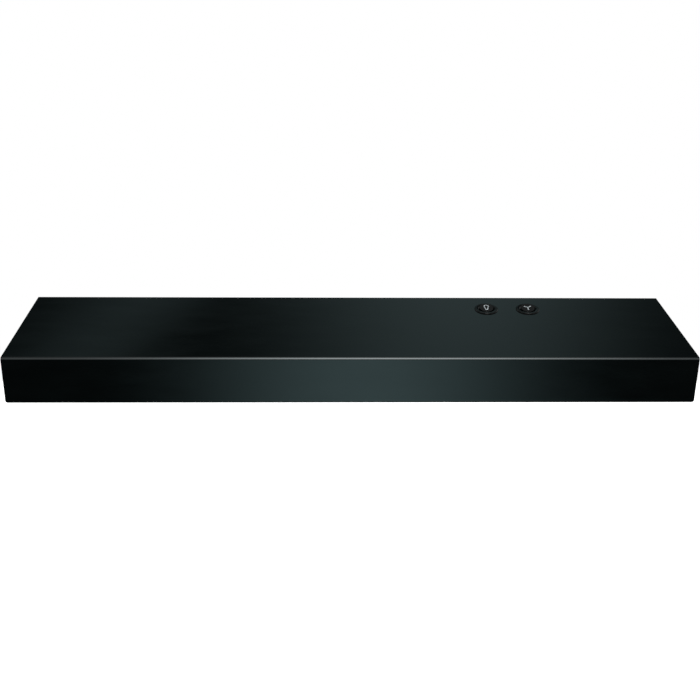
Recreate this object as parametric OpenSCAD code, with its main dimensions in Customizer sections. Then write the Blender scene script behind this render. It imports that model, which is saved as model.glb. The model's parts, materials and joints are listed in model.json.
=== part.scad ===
// Under cabinet range hood: a pressed and folded steel canopy with two push buttons on its sloping
// visor, two full-width grease filters, two hinged lamp lenses, a twin-wheel centrifugal blower and a
// rear duct collar with a back-draught flap.
//
// Frame: +Z up, +Y towards the wall, +X to the cook's right. The origin is the middle of the flat top,
// which is screwed up against the cabinet, so everything hangs below Z = 0.

/* [Canopy] */
// Width across the hood, for a gap of 762 mm between cabinets
hood_w = 759; // [750:1:780]
// Depth of the flat top, which is the depth of the cabinet above it
cabinet_d = 305; // [300:1:310]
// Depth that the sloping visor reaches forward of the cabinet
visor_d = 139.5; // [134:0.5:150]
// Height that the visor rises from the front bend to the ridge
visor_rise = 73; // [70:0.5:76]
// Height of the front lip below the front bend
lip_h = 49.2; // [48:0.2:52]
// Distance that the foot of the lip is set back from the front bend
lip_setback = 17.8; // [14:0.2:20]
// Thickness of the steel sheet
sheet = 1; // [0.9:0.1:1.1]
// Outside radius of the bends at the ridge and at the front
bend_r = 3; // [2.5:0.1:4]

/* [Controls] */
// Distance from the middle of the hood to the light button
light_button_x = 163; // [150:0.5:170]
// Distance between the two buttons
button_pitch = 50; // [45:0.5:55]
// Place of the buttons up the visor, as a share of its length
button_share = 0.79; // [0.74:0.01:0.8]
// Outside radius of a button's bezel
bezel_r = 13.9; // [13.5:0.1:14.5]
// Radius of a button's cap
cap_r = 8; // [7.6:0.1:8.2]

/* [Filters] */
// Thickness of a grease filter
filter_t = 9; // [8:0.5:9]
// Distance from the foot of the hood up to the filters and the lamp tray
recess_h = 10; // [9.5:0.1:10]

/* [Blower] */
// Outside radius of a blower wheel
wheel_r = 38; // [34:1:38]
// Number of blades on a wheel
wheel_blades = 32; // [24:1:36]
// Inside width of the blower housing
blower_w = 250; // [246:1:252]

/* [Duct] */
// Outside width of the duct collar
collar_w = 254; // [252:0.5:256]
// Outside height of the duct collar
collar_h = 82.5; // [82:0.5:83]
// Length of the duct collar behind the wall face
collar_l = 28; // [24:1:32]

/* [Hidden] */
$fn = 48;

// Gap that lets one painted piece slide past another
slack = 0.3;
// Running clearance of a pin or shaft in its hole
running = 0.06;

// Places of the canopy's folds, in Y and Z
half_w = hood_w / 2;
back_y = cabinet_d / 2;
ridge_y = -cabinet_d / 2;
front_y = ridge_y - visor_d;
bend_z = -visor_rise;
foot_y = front_y + lip_setback;
foot_z = bend_z - lip_h;
foot_bend_r = 2;
foot_flange = 16;
foot_shelf = 11;
side_flange = 13;
corner_r = 2.5;
visor_angle = atan2(visor_rise, visor_d);

// Line of the canopy's outer face: the top, the visor, the lip, its turned-in foot and the tray's shelf
canopy_line = [
    [back_y, 0], [ridge_y, 0], [front_y, bend_z], [foot_y, foot_z],
    [foot_y + foot_flange, foot_z], [foot_y + foot_flange, foot_z + recess_h + sheet],
    [foot_y + foot_flange + foot_shelf, foot_z + recess_h + sheet]
];
canopy_bends = [0, bend_r, bend_r, foot_bend_r, foot_bend_r, sheet, 0];

// Holes in the top, for the cabinet screws and the ways out
keyhole_x = half_w - 50;
keyhole_y = back_y - 42.5;
keyhole_r = 6;
keyhole_slot_r = 2.8;
keyhole_slot_l = 14;
top_vent_y = 99;
top_vent_d = 82;
round_vent_y = -55;
round_vent_r = 89;
knockout_slit = 0.8;
knockout_tab = 6;
cable_x = 312;
cable_top_y = 118;
cable_z = -28;
cable_r = 11.1;

// Underside levels
tray_z = foot_z + recess_h;
tray_front = foot_y + foot_flange;
tray_back = ridge_y - 25.5;
tray_wall = 22;
filter_z = tray_z;
filter_front = tray_back + 3.5;
filter_back = back_y - 15;
filter_in = 8;
filter_out = half_w - 18.5;
frame_rail = 10;
pin_r = 2.5;
pin_y = filter_back - 5;
pin_z = filter_z + filter_t / 2;

// Lamps
lamp_x = 232;
lamp_y = tray_back - 38;
lamp_z = tray_z + 31;
lens_w = 176;
lens_d = 52;
lens_t = 2;
lens_pin_r = 1.5;
lens_pin_y = lamp_y + lens_d / 2 + 2;
lens_pin_z = tray_z + 4.5;
reflector_w = 190;
reflector_d = 60;
reflector_t = 0.6;
reflector_h = 59;
bulb_face = lamp_x + reflector_w / 2 - 22;
cap_l = 25;

// Blower: the axis, the growing radius of the scroll and its outlet
axis_y = 45;
axis_z = -56;
scroll_r0 = wheel_r + 3;
scroll_growth = 52 - scroll_r0;
tongue_angle = -50;
scroll_sweep = 220;
outlet_top = -9;
outlet_bottom = -89;
collar_sheet = 0.8;
outlet_y = back_y - sheet - collar_sheet;
shaft_r = 4;
motor_r = 34;
motor_l = 62;
wheel_gap = 6;
wheel_l = blower_w / 2 - motor_l / 2 - 2 * wheel_gap;
inlet_r = wheel_r - 6;

// Duct collar and its flap
collar_z = (outlet_top + outlet_bottom) / 2;
flap_pin_r = 1.5;
flap_pin_y = back_y + 7;
flap_pin_z = collar_z + collar_h / 2 - collar_sheet - 4;
flap_h = collar_h - 2 * collar_sheet - 7;
flap_w = collar_w - 2 * collar_sheet - 4;

// Screws
tray_shank_r = 1.6;
top_shank_r = 1.6;
collar_shank_r = 1.4;

// Wires and their grommets
wire_r = 2.4;
grommet_r = 5;
wire_z = -20;
motor_wire_x = 14;
motor_wire_z = -50;
scroll_front = 48;

// Wiring box
box_switch_x = cable_x - 20;
box_motor_y = 136;
box_x0 = cable_x - 50;
box_x1 = half_w - 15;
box_y0 = 78;
box_h = 52;

// ---------------------------------------------------------------- shared shapes

function unit(v) = v / norm(v);
function left_of(d) = [-d[1], d[0]];
function turned(v, a) = [v[0] * cos(a) - v[1] * sin(a), v[0] * sin(a) + v[1] * cos(a)];

// Points of the face that lies depth inside a line of folds, with each bend a round arc
function fold_face(line, bends, depth) = let (last = len(line) - 1) [
    for (i = [0:last]) let (
        into = unit(line[max(i, 1)] - line[max(i, 1) - 1]),
        out = unit(line[min(i, last - 1) + 1] - line[min(i, last - 1)]),
        n_in = left_of(into), n_out = left_of(out),
        side = n_in * out < 0 ? -1 : 1,
        radius = side * bends[i],
        centre = line[i] + radius * (n_in + n_out) / (1 + n_in * n_out),
        turn = acos(min(1, into * out)) * side,
        steps = bends[i] == 0 ? 0 : ceil(abs(turn) / 9)
    ) for (s = [0:steps])
        centre - (radius - depth) * turned(n_in, steps == 0 ? 0 : turn * s / steps)
];

// Section of a folded sheet whose outer face follows the line
module folded(line, bends, t) {
    polygon(concat(
        fold_face(line, bends, 0),
        [for (p = [fold_face(line, bends, t)], i = [len(p) - 1:-1:0]) p[i]]
    ));
}

// A section drawn in Y and Z, run along X
module along_x(length) {
    rotate([90, 0, 90]) linear_extrude(length, center = true) children();
}

// A round bar along X
module bar_x(r, length) {
    rotate([0, 90, 0]) cylinder(r = r, h = length, center = true);
}

// A box from one corner to the opposite one
module block(low, high) {
    translate(low) cube(high - low);
}

// Both mirror halves
module both_sides() {
    children();
    mirror([1, 0, 0]) children();
}

// Moves a shape drawn on the visor's plane, Z outward and Y up the slope, to its place at x
module on_visor(x) {
    translate([x, ridge_y - visor_d * (1 - button_share), bend_z + visor_rise * button_share])
        rotate([visor_angle, 0, 0]) children();
}

// The thin line of cuts that leaves a knockout held by its tabs
module rect_slits(w, d, t) {
    for (s = [-1, 1]) {
        translate([0, s * d / 2, 0]) for (k = [-1, 0, 1])
            translate([k * w / 3, 0, 0])
                cube([w / 3 - knockout_tab, knockout_slit, t], center = true);
        translate([s * w / 2, 0, 0]) for (k = [-0.5, 0.5])
            translate([0, k * d / 2, 0])
                cube([knockout_slit, d / 2 - knockout_tab, t], center = true);
    }
}

module ring_slits(r, tabs, t) {
    difference() {
        cylinder(r = r, h = t, center = true);
        cylinder(r = r - knockout_slit, h = t + 1, center = true);
        for (k = [0:tabs / 2 - 1]) rotate([0, 0, 360 / tabs * k])
            cube([2 * r + 2, knockout_tab, t + 2], center = true);
    }
}

// A pan head screw pointing down -Z from its seat at the origin
module pan_screw(head_r, shank_r, length) {
    difference() {
        union() {
            cylinder(r = head_r, h = head_r * 0.45);
            translate([0, 0, head_r * 0.45]) cylinder(r1 = head_r, r2 = head_r * 0.7, h = head_r * 0.2);
            translate([0, 0, -length]) cylinder(r = shank_r, h = length);
        }
        for (a = [0, 90]) rotate([0, 0, a])
            translate([0, 0, head_r * 0.65])
                cube([head_r * 1.2, head_r * 0.25, head_r * 0.7], center = true);
    }
}

// Hole for a screw that stands at the origin and points down -Z
module screw_hole(shank_r) {
    translate([0, 0, -8]) cylinder(r = shank_r, h = 9);
}

// Where each group of screws goes: the seat of the head, with the screw pointing along its -Z
module tray_screw_places() {
    for (x = [-345, -115, 115, 345])
        translate([x, tray_front + foot_shelf / 2, tray_z]) rotate([180, 0, 0]) children();
}

module blower_screw_places() {
    for (s = [-1, 1], y = [-15, 15])
        translate([s * (blower_w / 2 + 9), axis_y + y, -2 * sheet]) rotate([180, 0, 0]) children();
}

module collar_screw_places() {
    for (s = [-1, 1], z = [-30, 30])
        translate([s * (collar_w / 2 + 5), back_y - sheet - collar_sheet, collar_z + z])
            rotate([90, 0, 0]) children();
}

module box_screw_places() {
    translate([box_x0 - 6, box_y0 + 32, -2 * sheet]) rotate([180, 0, 0]) children();
}

// Points of a smooth curve through the given points
function spline_point(p, i, t) = let (
    last = len(p) - 1,
    a = p[max(i - 1, 0)], b = p[i], c = p[min(i + 1, last)], d = p[min(i + 2, last)]
) 0.5 * (2 * b + (c - a) * t + (2 * a - 5 * b + 4 * c - d) * t * t
    + (3 * b - a - 3 * c + d) * t * t * t);
function spline(p, steps) = concat(
    [for (i = [0:len(p) - 2], s = [0:steps - 1]) spline_point(p, i, s / steps)],
    [p[len(p) - 1]]
);

// A wire or bundle of radius r, swept along a smooth curve through the given points
module swept(points, r, steps = 6, sides = 8) {
    path = spline(points, steps);
    last = len(path) - 1;
    along = [for (i = [0:last]) unit(path[min(i + 1, last)] - path[max(i - 1, 0)])];
    across = [for (d = along) unit(cross(d, abs(d[2]) > 0.8 ? [1, 0, 0] : [0, 0, 1]))];
    rings = [for (i = [0:last], k = [0:sides - 1]) let (u = across[i], v = cross(along[i], u))
        path[i] + r * (cos(360 * k / sides) * u + sin(360 * k / sides) * v)];
    walls = [for (i = [0:last - 1], k = [0:sides - 1]) let (n = (k + 1) % sides)
        [i * sides + k, i * sides + n, (i + 1) * sides + n, (i + 1) * sides + k]];
    polyhedron(rings, concat(
        walls,
        [[for (k = [sides - 1:-1:0]) k], [for (k = [0:sides - 1]) last * sides + k]]
    ), convexity = 6);
}

// ---------------------------------------------------------------- canopy and panels

// One sheet folded into the flat top, the sloping visor, the front lip and its turned-in foot
module canopy() color("#111618") {
    difference() {
        along_x(hood_w) folded(canopy_line, canopy_bends, sheet);
        // the foot's flange stops short of the side panels' own flanges
        both_sides() block(
            [half_w - side_flange - 1, foot_y + foot_bend_r * 0.7, foot_z - 1],
            [half_w + 1, tray_front + foot_shelf + 1, foot_z + recess_h + 2 * sheet + 1]
        );
        // rounded lower corners of the lip
        both_sides() translate([half_w - corner_r, foot_y - 5, foot_z + corner_r])
            rotate([-90, 0, 0]) difference() {
                cube([corner_r + 1, corner_r + 1, 20]);
                translate([0, 0, -1]) cylinder(r = corner_r, h = 22);
            }
        for (x = [-keyhole_x, keyhole_x], y = [-keyhole_y, keyhole_y]) translate([x, y, -sheet / 2]) {
            cylinder(r = keyhole_r, h = 4, center = true);
            translate([0, -keyhole_slot_l, 0]) cylinder(r = keyhole_slot_r, h = 4, center = true);
            translate([0, -keyhole_slot_l / 2, 0])
                cube([2 * keyhole_slot_r, keyhole_slot_l, 4], center = true);
        }
        translate([0, top_vent_y, 0]) rect_slits(collar_w, top_vent_d, 4);
        translate([0, round_vent_y, 0]) ring_slits(round_vent_r, 6, 4);
        translate([cable_x, cable_top_y, 0]) ring_slits(cable_r, 2, 4);
        for (x = [light_button_x, light_button_x + button_pitch])
            on_visor(x) cylinder(r = bezel_r - 1.3, h = 6, center = true);
        tray_screw_places() screw_hole(tray_shank_r);
        blower_screw_places() screw_hole(top_shank_r);
        box_screw_places() screw_hole(top_shank_r);
    }
}

// End panel, cut to the canopy's inner line, with a flange turned in along its foot
module side_panel() {
    inner = fold_face(
        [canopy_line[0], canopy_line[1], canopy_line[2], canopy_line[3]],
        [0, bend_r, bend_r, 0], sheet
    );
    lip_line = unit(canopy_line[3] - canopy_line[2]);
    stop = inner[len(inner) - 1] - lip_line * 2;
    color("#111618") intersection() {
        along_x(hood_w + 2) polygon(concat(
            [for (i = [0:len(inner) - 2]) inner[i]],
            [stop, [foot_y + 2.7, foot_z], [back_y, foot_z]]
        ));
        translate([0, back_y, 0]) rotate([90, 0, 0]) linear_extrude(hood_w)
            folded(
                [[half_w - side_flange, foot_z], [half_w, foot_z], [half_w, 0]],
                [0, corner_r, 0], sheet
            );
    }
    // flange that is welded under the flat top
    color("#111618") block([half_w - side_flange, ridge_y + 6, -2 * sheet],
        [half_w - sheet / 2, back_y - sheet, -sheet]);
}

module left_side_panel() mirror([1, 0, 0]) side_panel();
module right_side_panel() side_panel();

// Wall panel, with the duct opening, the cable hole and a flange turned in along its foot
module back_panel() color("#111618") {
    inside_w = hood_w - 2 * sheet;
    difference() {
        union() {
            block([-inside_w / 2, back_y - sheet, foot_z + 3], [inside_w / 2, back_y, -sheet]);
            along_x(hood_w - 2 * side_flange - 2)
                folded([[back_y - 12, foot_z], [back_y, foot_z], [back_y, foot_z + 4]], [0, 2, 0], sheet);
        }
        translate([0, back_y, collar_z]) cube([collar_w + 0.6, 8, collar_h + 0.6], center = true);
        collar_screw_places() screw_hole(collar_shank_r);
        // notches for the side panels' welded flanges
        both_sides()
            block([half_w - side_flange - 0.3, back_y - 2, -2 * sheet - 0.3], [half_w, back_y + 1, 0]);
        translate([cable_x, back_y, cable_z]) rotate([90, 0, 0])
            cylinder(r = cable_r, h = 8, center = true);
    }
}

// ---------------------------------------------------------------- lamp tray and lamps

// Folded tray behind the lip, which carries the lamps and closes the front of the underside
module lamp_tray() color("#15191b") {
    w = hood_w - 2 * sheet - 1;
    difference() {
        union() {
            along_x(w) folded(
                [[tray_front + sheet + 0.2, tray_z], [tray_back, tray_z], [tray_back, tray_z + tray_wall]],
                [0, 1.5, 0], sheet
            );
            // ears that hold the lenses' hinge pins
            for (x = [-lamp_x, lamp_x], s = [-1, 1]) translate([x + s * (lens_w / 2 + 4), lens_pin_y, 0])
                block([-1, -3.2, tray_z + sheet / 2], [1, 3.2, lens_pin_z + 3.2]);
        }
        for (x = [-lamp_x, lamp_x]) translate([x, lamp_y, tray_z])
            cube([lens_w + 1.2, lens_d + 1.2, 6], center = true);
        // relief for the rolled edge of each lens
        for (x = [-lamp_x, lamp_x])
            translate([x, lens_pin_y, tray_z]) cube([lens_w + 1.2, 12, 6], center = true);
        for (x = [-lamp_x, lamp_x], s = [-1, 1])
            translate([x + s * (lens_w / 2 + 4), lens_pin_y, lens_pin_z])
                bar_x(lens_pin_r + running, 6);
        tray_screw_places() screw_hole(tray_shank_r);
    }
}

// Bright folded reflector over a lamp, with end walls; the outer one takes the socket
module reflector(s) color("#c9ccd0") {
    y0 = lamp_y - reflector_d / 2;
    y1 = lamp_y + reflector_d / 2;
    base = tray_z + sheet;
    roof = base + reflector_h;
    line = [[y1, base], [y1, roof - 12], [y1 - 10, roof], [y0 + 16, roof], [y0, roof - 14], [y0, base]];
    bends = [0, 2, 2, 2, 2, 0];
    translate([s * lamp_x, 0, 0]) difference() {
        union() {
            along_x(reflector_w) folded(line, bends, reflector_t);
            for (e = [-1, 1]) translate([e * (reflector_w / 2 - reflector_t / 2), 0, 0])
                along_x(reflector_t) polygon(fold_face(line, bends, reflector_t / 2));
            // foot flange on the tray, behind the shelf
            block([-reflector_w / 2, y1 - 0.1, base + 8], [reflector_w / 2, y1 + 1, base + 8.6]);
        }
        translate([s * reflector_w / 2, lamp_y, lamp_z]) bar_x(18.5, 8);
        // room for the lens's rolled edge
        translate([0, y1, base]) cube([lens_w + 14, 20, 15], center = true);
    }
}

module left_reflector() reflector(-1);
module right_reflector() reflector(1);

// Porcelain screw socket on a bent bracket, opening towards the middle of the hood
module socket(s) color("#e8e4da") {
    seat = lamp_x + reflector_w / 2 - 6;
    mirror([s < 0 ? 1 : 0, 0, 0]) {
        translate([seat - 16, lamp_y, lamp_z]) rotate([0, 90, 0]) difference() {
            cylinder(r = 17.5, h = 34);
            translate([0, 0, -1]) cylinder(r = 13.6, h = bulb_face - 2 + cap_l - seat + 17);
        }
        block([seat + 18, lamp_y - 14, tray_z + sheet], [seat + 20, lamp_y + 14, lamp_z + 16]);
        block([seat + 18, lamp_y - 14, tray_z + sheet], [seat + 32, lamp_y + 14, tray_z + sheet + 2]);
    }
}

module left_socket() socket(-1);
module right_socket() socket(1);

// Appliance lamp: a pear-shaped glass envelope, turned about its own axis
module bulb(s) color("#f5f2e6") mirror([s < 0 ? 1 : 0, 0, 0])
    translate([bulb_face - 2, lamp_y, lamp_z]) rotate([0, -90, 0])
        rotate_extrude() polygon(concat(
            [[0, 0], [12.2, 0], [12.8, 6]],
            [for (a = [-38:8:90]) [23.5 * cos(a), 40 + 23.5 * sin(a)]]
        ));

module left_bulb() bulb(-1);
module right_bulb() bulb(1);

// Screw cap of the lamp, with its rolled thread and centre contact
module bulb_cap(s) color("#c8a860") mirror([s < 0 ? 1 : 0, 0, 0])
    translate([bulb_face - 2, lamp_y, lamp_z]) rotate([0, 90, 0])
        rotate_extrude() polygon(concat(
            [[0, 0], [12.4, 0]],
            [for (k = [0:4], p = [[13, 1.5], [12, 3.3]]) [p[0], p[1] + 3.6 * k]],
            [[11.4, 20.5], [5, 23.5], [4, cap_l], [0, cap_l]]
        ));

module left_bulb_cap() bulb_cap(-1);
module right_bulb_cap() bulb_cap(1);

// Frosted lens that swings down on two moulded pins along its rear edge
module lens(s) color("#f0efe8") translate([s * lamp_x, 0, 0]) {
    rim = 1.6;
    difference() {
        block([-lens_w / 2, lamp_y - lens_d / 2, tray_z - 1],
            [lens_w / 2, lamp_y + lens_d / 2, tray_z + 6]);
        block([-lens_w / 2 + rim, lamp_y - lens_d / 2 + rim, tray_z - 1 + lens_t],
            [lens_w / 2 - rim, lamp_y + lens_d / 2 - rim, tray_z + 8]);
    }
    for (e = [-1, 1]) {
        translate([e * (lens_w / 2 - 6), lens_pin_y, lens_pin_z]) bar_x(2.8, 11);
        translate([e * (lens_w / 2 + 1.6), lens_pin_y, lens_pin_z]) bar_x(lens_pin_r, 8.4);
        translate([e * (lens_w / 2 - 6), lens_pin_y - 2.2, lens_pin_z - 1.1])
            cube([11, 4.4, 3.2], center = true);
    }
}

module left_lens() lens(-1);
module right_lens() lens(1);

// ---------------------------------------------------------------- grease filters

filter_w = filter_out - filter_in;
filter_mid = (filter_out + filter_in) / 2;
filter_d = filter_back - filter_front;
filter_cy = (filter_back + filter_front) / 2;

// Folded aluminium rim of a filter, with the two pins that it swings on
module filter_frame(s) color("#b9bdc0") {
    translate([s * filter_mid, filter_cy, filter_z]) difference() {
        translate([-filter_w / 2, -filter_d / 2, 0]) cube([filter_w, filter_d, filter_t]);
        translate([-filter_w / 2 + frame_rail, -filter_d / 2 + frame_rail, -1])
            cube([filter_w - 2 * frame_rail, filter_d - 2 * frame_rail, filter_t + 2]);
        // groove that grips the edge of the mesh
        translate([-filter_w / 2 + 1, -filter_d / 2 + 1, 1])
            cube([filter_w - 2, filter_d - 2, filter_t - 2]);
    }
    for (e = [-1, 1])
        translate([s * filter_mid + e * (filter_w / 2 + 1.5), pin_y, pin_z]) bar_x(pin_r, 5);
}

// Pack of expanded aluminium sheets that fills the rim
module filter_mesh(s) color("#9fa4a8") {
    layers = 3;
    layer_t = 0.6;
    pitch = (filter_t - 2 - layer_t) / (layers - 1);
    for (k = [0:layers - 1]) translate([s * filter_mid, filter_cy, filter_z + 1 + pitch * k]) difference() {
        translate([-filter_w / 2 + 1, -filter_d / 2 + 1, 0]) cube([filter_w - 2, filter_d - 2, layer_t]);
        translate([-22.5, -filter_d / 2 + frame_rail + 3.5, -1])
            cube([45, 17, k < layers - 1 ? 4 : 0.01]);
    }
}

// Riveted finger cup that the filter is pulled down by
module filter_pull(s) color("#7c8286") {
    translate([s * filter_mid, filter_front + frame_rail + 12, filter_z]) difference() {
        translate([-22.5, -8.5, 0.6]) cube([45, 17, filter_t - 2.2]);
        translate([-19.5, -5.5, -1]) cube([39, 11, filter_t - 2]);
    }
}

module left_filter_frame() filter_frame(-1);
module right_filter_frame() filter_frame(1);
module left_filter_mesh() filter_mesh(-1);
module right_filter_mesh() filter_mesh(1);
module left_filter_pull() filter_pull(-1);
module right_filter_pull() filter_pull(1);

// Rail between the two filters
module filter_divider() color("#15191b") {
    block([-3, tray_back + 0.2, filter_z], [3, back_y - sheet, filter_z + sheet]);
    for (e = [-1, 1]) translate([e * 2.5, 0, 0])
        block([-0.5, tray_back + 0.2, filter_z + sheet], [0.5, back_y - sheet, filter_z + filter_t + 1]);
}

// Plates with an open hook under each filter pin, so that a lowered filter can be lifted out
module filter_pivot_brackets() color("#8d9296") {
    for (x = [-filter_out - 3.2, -filter_in + 3.2, filter_in - 3.2, filter_out + 3.2])
        translate([x, 0, 0]) difference() {
            block([-1, pin_y - 6, filter_z + 0.6], [1, back_y - sheet, filter_z + filter_t + 1.6]);
            translate([0, pin_y, pin_z]) bar_x(pin_r + running, 6);
            translate([0, pin_y - 5, pin_z + 3]) rotate([-32, 0, 0])
                cube([6, 12, 2 * pin_r + 2 * running], center = true);
        }
}

// Leaf springs on the tray's rear wall that grip a filter's front edge
module filter_spring_clips() color("#a9adb0") {
    for (s = [-1, 1], e = [-1, 1]) translate([s * filter_mid + e * 110, 0, 0]) along_x(14)
        polygon([
            [tray_back, tray_z + 5], [tray_back, tray_z + 18], [tray_back + 0.6, tray_z + 18],
            [tray_back + 0.6, tray_z + 9], [tray_back + 3.1, tray_z + 6], [tray_back + 2.4, tray_z + 3],
            [tray_back + 1.9, tray_z + 3.2], [tray_back + 2.5, tray_z + 5.8], [tray_back + 0.6, tray_z + 8]
        ]);
}

// ---------------------------------------------------------------- blower

// Points of the scroll's wall, depth outside its inner face, from the outlet's floor round to its roof
function scroll_face(depth) = concat(
    [[outlet_y, outlet_bottom - depth]],
    [for (k = [0:22]) let (
        a = tongue_angle - scroll_sweep * k / 22,
        r = scroll_r0 + scroll_growth * k / 22 + depth
    ) [axis_y + r * cos(a), axis_z + r * sin(a)]],
    [[outlet_y, outlet_top + depth]]
);

// Wrapped wall of the blower's scroll, open at the rear to the duct
module blower_scroll() color("#8f9498") {
    difference() {
        along_x(blower_w) polygon(concat(
            scroll_face(0), [for (p = [scroll_face(sheet)], i = [len(p) - 1:-1:0]) p[i]]
        ));
        // grommet hole for the motor's wires
        translate([motor_wire_x, axis_y - 47, motor_wire_z]) rotate([90, 0, 0])
            cylinder(r = grommet_r - 1.5, h = 12, center = true);
    }
}

// End plate of the scroll, with a rolled inlet ring into the wheel
module blower_end(s) color("#8f9498") {
    translate([s * (blower_w / 2 + sheet / 2), 0, 0]) difference() {
        along_x(sheet) polygon(scroll_face(sheet));
        translate([0, axis_y, axis_z]) bar_x(inlet_r, 5);
    }
    translate([s * (blower_w / 2), axis_y, axis_z]) rotate([0, -90 * s, 0])
        rotate_extrude() polygon([
            [inlet_r, -1], [inlet_r + 2.4, -1], [inlet_r + 2.4, 0], [inlet_r + 1, 0],
            [inlet_r, 4], [inlet_r - 1, 4], [inlet_r - 1, 0]
        ]);
}

module left_blower_end() blower_end(-1);
module right_blower_end() blower_end(1);

// Angle feet that hang the blower from the top panel
module blower_feet() color("#8f9498") difference() {
    for (s = [-1, 1]) translate([s * (blower_w / 2 + sheet), 0, 0]) mirror([s < 0 ? 1 : 0, 0, 0]) {
        block([0, axis_y - 24, -16], [sheet, axis_y + 24, -sheet]);
        block([sheet, axis_y - 24, -2 * sheet], [14, axis_y + 24, -sheet]);
    }
    blower_screw_places() screw_hole(top_shank_r);
}

// Two-speed induction motor between the wheels
module blower_motor() color("#5d6266") {
    translate([0, axis_y, axis_z]) difference() {
        union() {
            bar_x(motor_r - 4, motor_l);
            bar_x(motor_r, motor_l - 22);
            bar_x(10, motor_l + 6);
        }
        bar_x(shaft_r + running, motor_l + 20);
        for (k = [0:7]) rotate([45 * k + 22.5, 0, 0]) for (e = [-1, 1])
            translate([e * (motor_l / 2), 0, 20]) cube([6, 5, 9], center = true);
    }
}

// Steel band round the motor, with arms out to the scroll's wall
module motor_cradle() color("#8f9498") {
    translate([0, axis_y, axis_z]) difference() {
        bar_x(motor_r + 1.2, 18);
        bar_x(motor_r, 20);
    }
    intersection() {
        along_x(14) polygon(scroll_face(0));
        translate([0, axis_y, axis_z]) for (a = [0, 90, 190]) rotate([a, 0, 0])
            block([-7, -1, motor_r + 0.6], [7, 1, motor_r + 30]);
    }
}

module motor_shaft() color("#c3c7ca")
    translate([0, axis_y, axis_z]) bar_x(shaft_r, blower_w - 20);

// Squirrel-cage wheel with forward-curved blades, drawn along +Z from its back plate
module wheel() {
    rib = 3;
    difference() {
        union() {
            cylinder(r = wheel_r, h = 1.2);
            cylinder(r = 10, h = 16);
            linear_extrude(wheel_l) for (k = [0:wheel_blades - 1]) rotate(360 / wheel_blades * k)
                translate([wheel_r - 5, 0]) rotate(38) square([9.4, 0.8], center = true);
            for (z = [0, wheel_l - rib]) translate([0, 0, z]) difference() {
                cylinder(r = wheel_r, h = rib);
                translate([0, 0, -1]) cylinder(r = wheel_r - 1.2, h = rib + 2);
            }
        }
        translate([0, 0, -1]) cylinder(r = shaft_r + 0.02, h = 30);
        for (k = [0:5]) rotate(60 * k) translate([19, 0, 0]) cylinder(r = 5.5, h = 4, center = true);
    }
}

module right_blower_wheel() color("#3a3f42")
    translate([motor_l / 2 + wheel_gap, axis_y, axis_z]) rotate([0, 90, 0]) wheel();
module left_blower_wheel() mirror([1, 0, 0]) right_blower_wheel();

// Run capacitor strapped under the top panel
module motor_capacitor() color("#d8d8d2") {
    translate([-165, 20, -sheet]) {
        block([-22, -14, -27], [22, 14, -1]);
        difference() {
            block([-6, -15.2, -28.2], [6, 15.2, 0]);
            block([-7, -14, -27], [7, 14, 1]);
        }
        for (e = [-1, 1]) block([-6, e * 20 - 6, -1], [6, e * 20 + 6, 0]);
        for (e = [-1, 1]) block([22, e * 6 - 3, -14], [28, e * 6 + 3, -13]);
    }
}

// ---------------------------------------------------------------- duct collar and damper

// Rectangular collar that the duct slips over, with a flange inside the wall panel
module duct_collar() color("#a4a9ac") {
    flange = 9;
    difference() {
        union() {
            translate([0, back_y - sheet - collar_sheet, collar_z])
                translate([-collar_w / 2, 0, -collar_h / 2])
                    cube([collar_w, collar_sheet + sheet + collar_l, collar_h]);
            translate([-collar_w / 2 - flange, back_y - sheet - collar_sheet, outlet_bottom - 6])
                cube([collar_w + 2 * flange, collar_sheet, outlet_top - outlet_bottom + 12]);
        }
        translate([0, back_y, collar_z])
            cube([collar_w - 2 * collar_sheet, 200, collar_h - 2 * collar_sheet], center = true);
        translate([0, flap_pin_y, flap_pin_z]) bar_x(flap_pin_r, collar_w + 20);
        collar_screw_places() screw_hole(collar_shank_r);
    }
}

// Light flap that hangs shut and is blown open by the air
module damper_flap() color("#b4b8ba") {
    w = flap_w - 2;
    difference() {
        union() {
            translate([0, flap_pin_y, flap_pin_z]) bar_x(2.4, w);
            block([-w / 2, flap_pin_y - 2.4, flap_pin_z - flap_h], [w / 2, flap_pin_y - 1.8, flap_pin_z]);
            // turned-up foot that stiffens the flap
            block([-w / 2, flap_pin_y - 2.4, flap_pin_z - flap_h],
                [w / 2, flap_pin_y + 1.6, flap_pin_z - flap_h + 0.6]);
        }
        translate([0, flap_pin_y, flap_pin_z]) bar_x(flap_pin_r + running, w + 10);
    }
}

module damper_pin() color("#c3c7ca") {
    translate([0, flap_pin_y, flap_pin_z]) bar_x(flap_pin_r, collar_w);
    for (e = [-1, 1]) translate([e * (collar_w / 2 + 0.5), flap_pin_y, flap_pin_z]) bar_x(2.3, 1);
}

// Foam strip round the inside of the collar, which the flap closes against
module damper_seal() color("#2c3033") {
    y1 = flap_pin_y - 2.4 - slack;
    inside_w = collar_w - 2 * collar_sheet;
    inside_h = collar_h - 2 * collar_sheet;
    difference() {
        block([-inside_w / 2, y1 - 3, collar_z - inside_h / 2],
            [inside_w / 2, y1, collar_z + inside_h / 2]);
        block([-inside_w / 2 + 4, y1 - 4, collar_z - inside_h / 2 + 4],
            [inside_w / 2 - 4, y1 + 1, collar_z + inside_h / 2 - 4]);
    }
}

// ---------------------------------------------------------------- controls

cap_tilt = 12;
cap_h = 2.5;

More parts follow.
